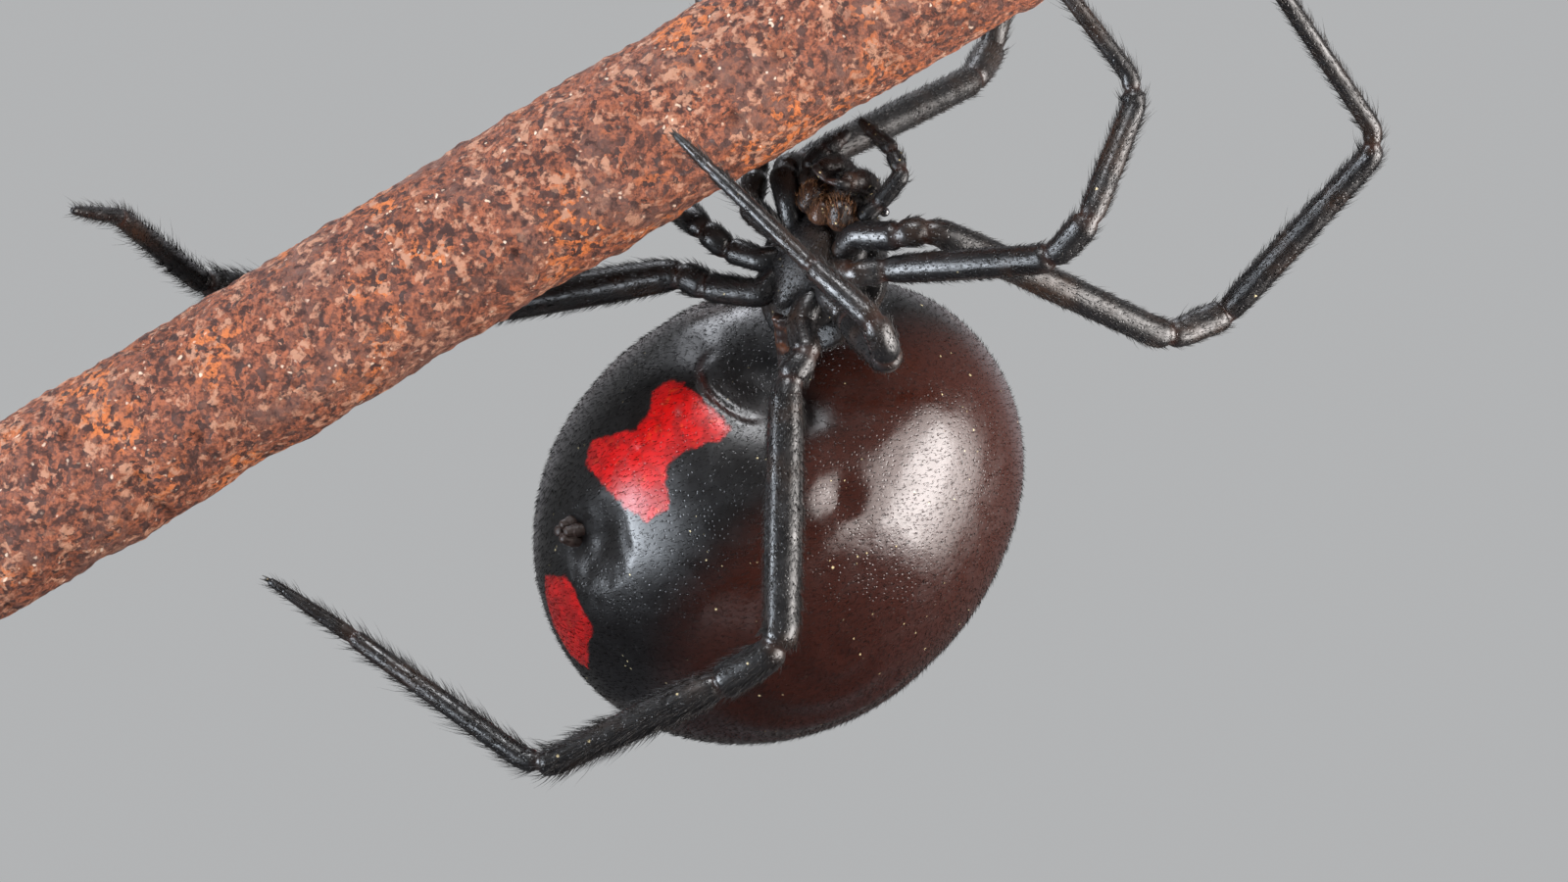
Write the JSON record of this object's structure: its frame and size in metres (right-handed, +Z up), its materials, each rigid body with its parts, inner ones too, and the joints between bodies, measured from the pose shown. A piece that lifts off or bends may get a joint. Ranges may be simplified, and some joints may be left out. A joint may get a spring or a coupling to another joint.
{
  "type": "black widow spider model",
  "caption": "Life-size still model of a black widow spider hanging belly outward below a cut length of twig, held by a flat base and a short rod.",
  "frame": {"origin": "middle of the underside of the stand's base, on the surface that the model stands on", "axes": "+Z up, -Y towards the viewer of the picture, +X to the viewer's right; the twig rises along +X and +Z"},
  "size_m": [0.036, 0.022, 0.0276],
  "materials": {
    "abdomen_skin": "glossy black to dark maroon skin with a red hourglass",
    "spinneret_skin": "dull brown black",
    "body_shell": "satin black with fine hairs",
    "joint_skin": "orange brown, semi matt",
    "mouthpart_shell": "glossy brown black",
    "leg_shell": "satin black with short bristles",
    "eye_lens": "polished black",
    "bark": "rough reddish bark with pale specks",
    "stand_lacquer": "satin dark grey lacquer"
  },
  "bodies": {
    "root": {"abdomen": "abdomen_skin", "spinnerets": "spinneret_skin", "carapace": "body_shell", "sternum": "body_shell", "pedicel": "joint_skin", "chelicera_left": "mouthpart_shell", "chelicera_right": "mouthpart_shell", "maxilla_left": "mouthpart_shell", "maxilla_right": "mouthpart_shell", "palp_left": "leg_shell", "palp_right": "leg_shell", "twig": "bark", "stand_base": "stand_lacquer", "stand_rod": "stand_lacquer", "leg_left_1_coxa": "leg_shell", "leg_left_1_femur": "leg_shell", "leg_left_1_tibia": "leg_shell", "leg_left_1_metatarsus": "leg_shell", "leg_left_2_coxa": "leg_shell", "leg_left_2_femur": "leg_shell", "leg_left_2_tibia": "leg_shell", "leg_left_2_metatarsus": "leg_shell", "leg_left_3_coxa": "leg_shell", "leg_left_3_femur": "leg_shell", "leg_left_3_tibia": "leg_shell", "leg_left_3_metatarsus": "leg_shell", "leg_left_4_coxa": "leg_shell", "leg_left_4_femur": "leg_shell", "leg_left_4_tibia": "leg_shell", "leg_left_4_metatarsus": "leg_shell", "leg_right_1_coxa": "leg_shell", "leg_right_1_femur": "leg_shell", "leg_right_1_tibia": "leg_shell", "leg_right_1_metatarsus": "leg_shell", "leg_right_2_coxa": "leg_shell", "leg_right_2_femur": "leg_shell", "leg_right_2_tibia": "leg_shell", "leg_right_2_metatarsus": "leg_shell", "leg_right_3_coxa": "leg_shell", "leg_right_3_femur": "leg_shell", "leg_right_3_tibia": "leg_shell", "leg_right_3_metatarsus": "leg_shell", "leg_right_4_coxa": "leg_shell", "leg_right_4_femur": "leg_shell", "leg_right_4_tibia": "leg_shell", "leg_right_4_metatarsus": "leg_shell", "eye_front_middle_left": "eye_lens", "eye_front_side_left": "eye_lens", "eye_rear_middle_left": "eye_lens", "eye_rear_side_left": "eye_lens", "eye_front_middle_right": "eye_lens", "eye_front_side_right": "eye_lens", "eye_rear_middle_right": "eye_lens", "eye_rear_side_right": "eye_lens"}
  },
  "joints": []
}
